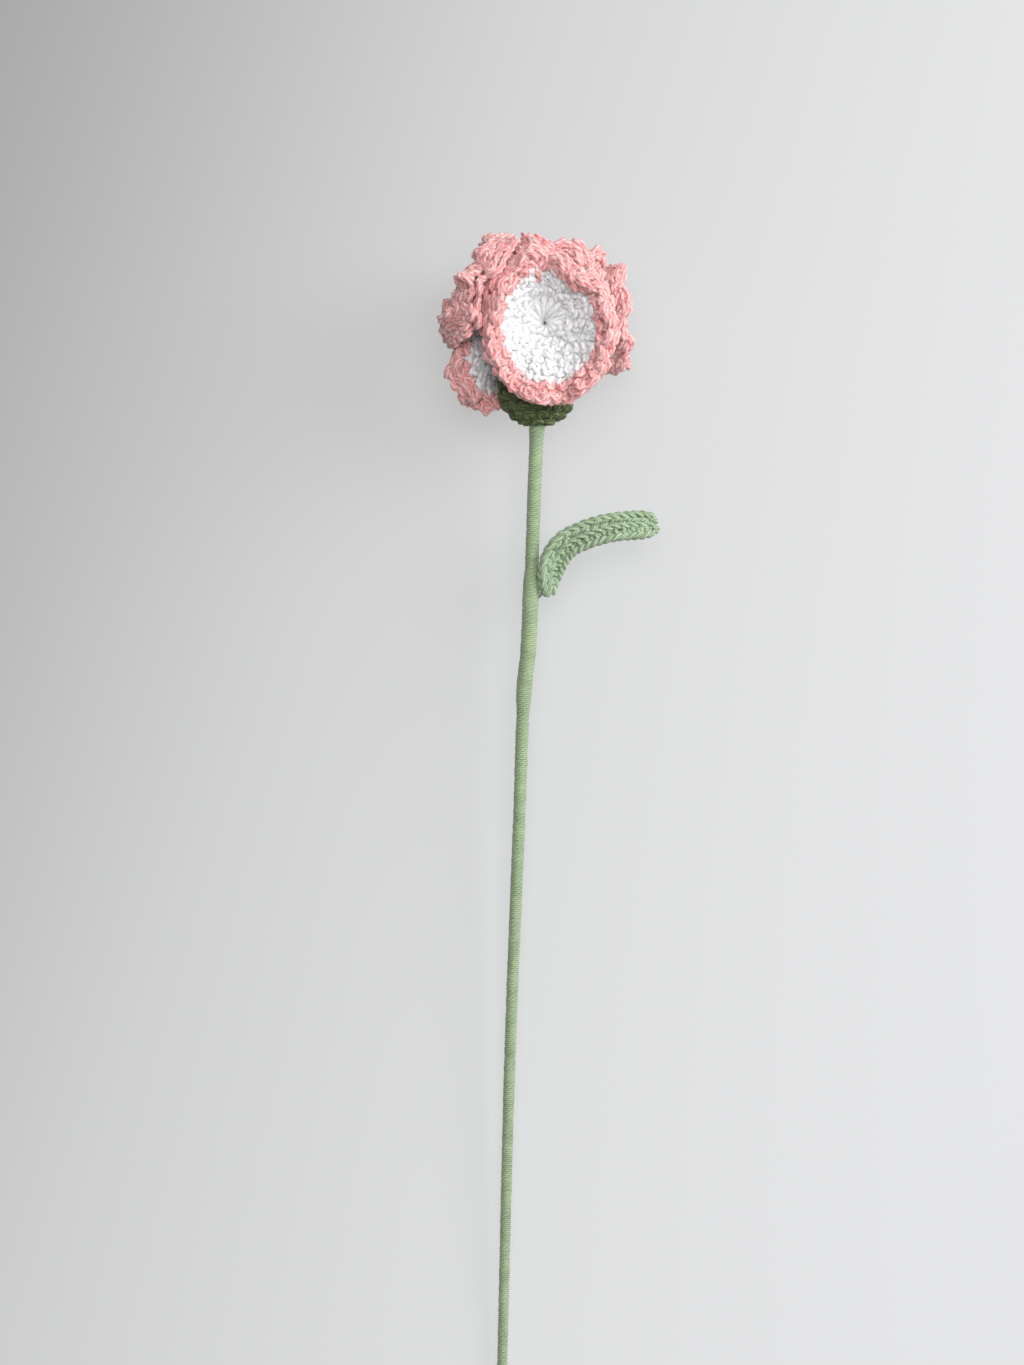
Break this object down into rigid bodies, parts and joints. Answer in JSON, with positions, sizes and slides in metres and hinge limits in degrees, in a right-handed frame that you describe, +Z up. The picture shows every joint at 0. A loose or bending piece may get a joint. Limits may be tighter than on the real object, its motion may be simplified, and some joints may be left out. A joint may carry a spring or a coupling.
{
  "type": "crocheted carnation",
  "caption": "Crocheted carnation: ruffled pink-edged white yarn petals in a dark green calyx on a yarn-wrapped wire stem with a leaf, lying down.",
  "frame": {"origin": "middle of the bounding box's base, on the surface the flower lies on", "axes": "+Y along the stem towards the flower head, +Z up from the table towards the front petal's face, +X to the right of someone who looks down on it with the head at the top"},
  "size_m": [0.0768, 0.4266, 0.0567],
  "materials": {
    "steel_wire": "plain drawn wire",
    "light_green_yarn": "smooth cotton yarn, wound or crocheted",
    "dark_green_yarn": "soft cotton yarn, crocheted",
    "white_yarn": "soft cotton yarn, crocheted",
    "pink_yarn": "soft cotton yarn, crocheted"
  },
  "bodies": {
    "root": {"stem_wire": "steel_wire", "stem_wrap": "light_green_yarn", "leaf": "light_green_yarn", "leaf_wire": "steel_wire", "calyx": "dark_green_yarn", "sewing_yarn": "white_yarn", "front_petal_centre": "white_yarn", "front_petal_frill": "pink_yarn", "right_petal_centre": "white_yarn", "right_petal_frill": "pink_yarn", "left_petal_centre": "white_yarn", "left_petal_frill": "pink_yarn", "side_petal_centre": "white_yarn", "side_petal_frill": "pink_yarn", "top_petal_centre": "white_yarn", "top_petal_frill": "pink_yarn", "back_petal_centre": "white_yarn", "back_petal_frill": "pink_yarn"}
  },
  "joints": []
}
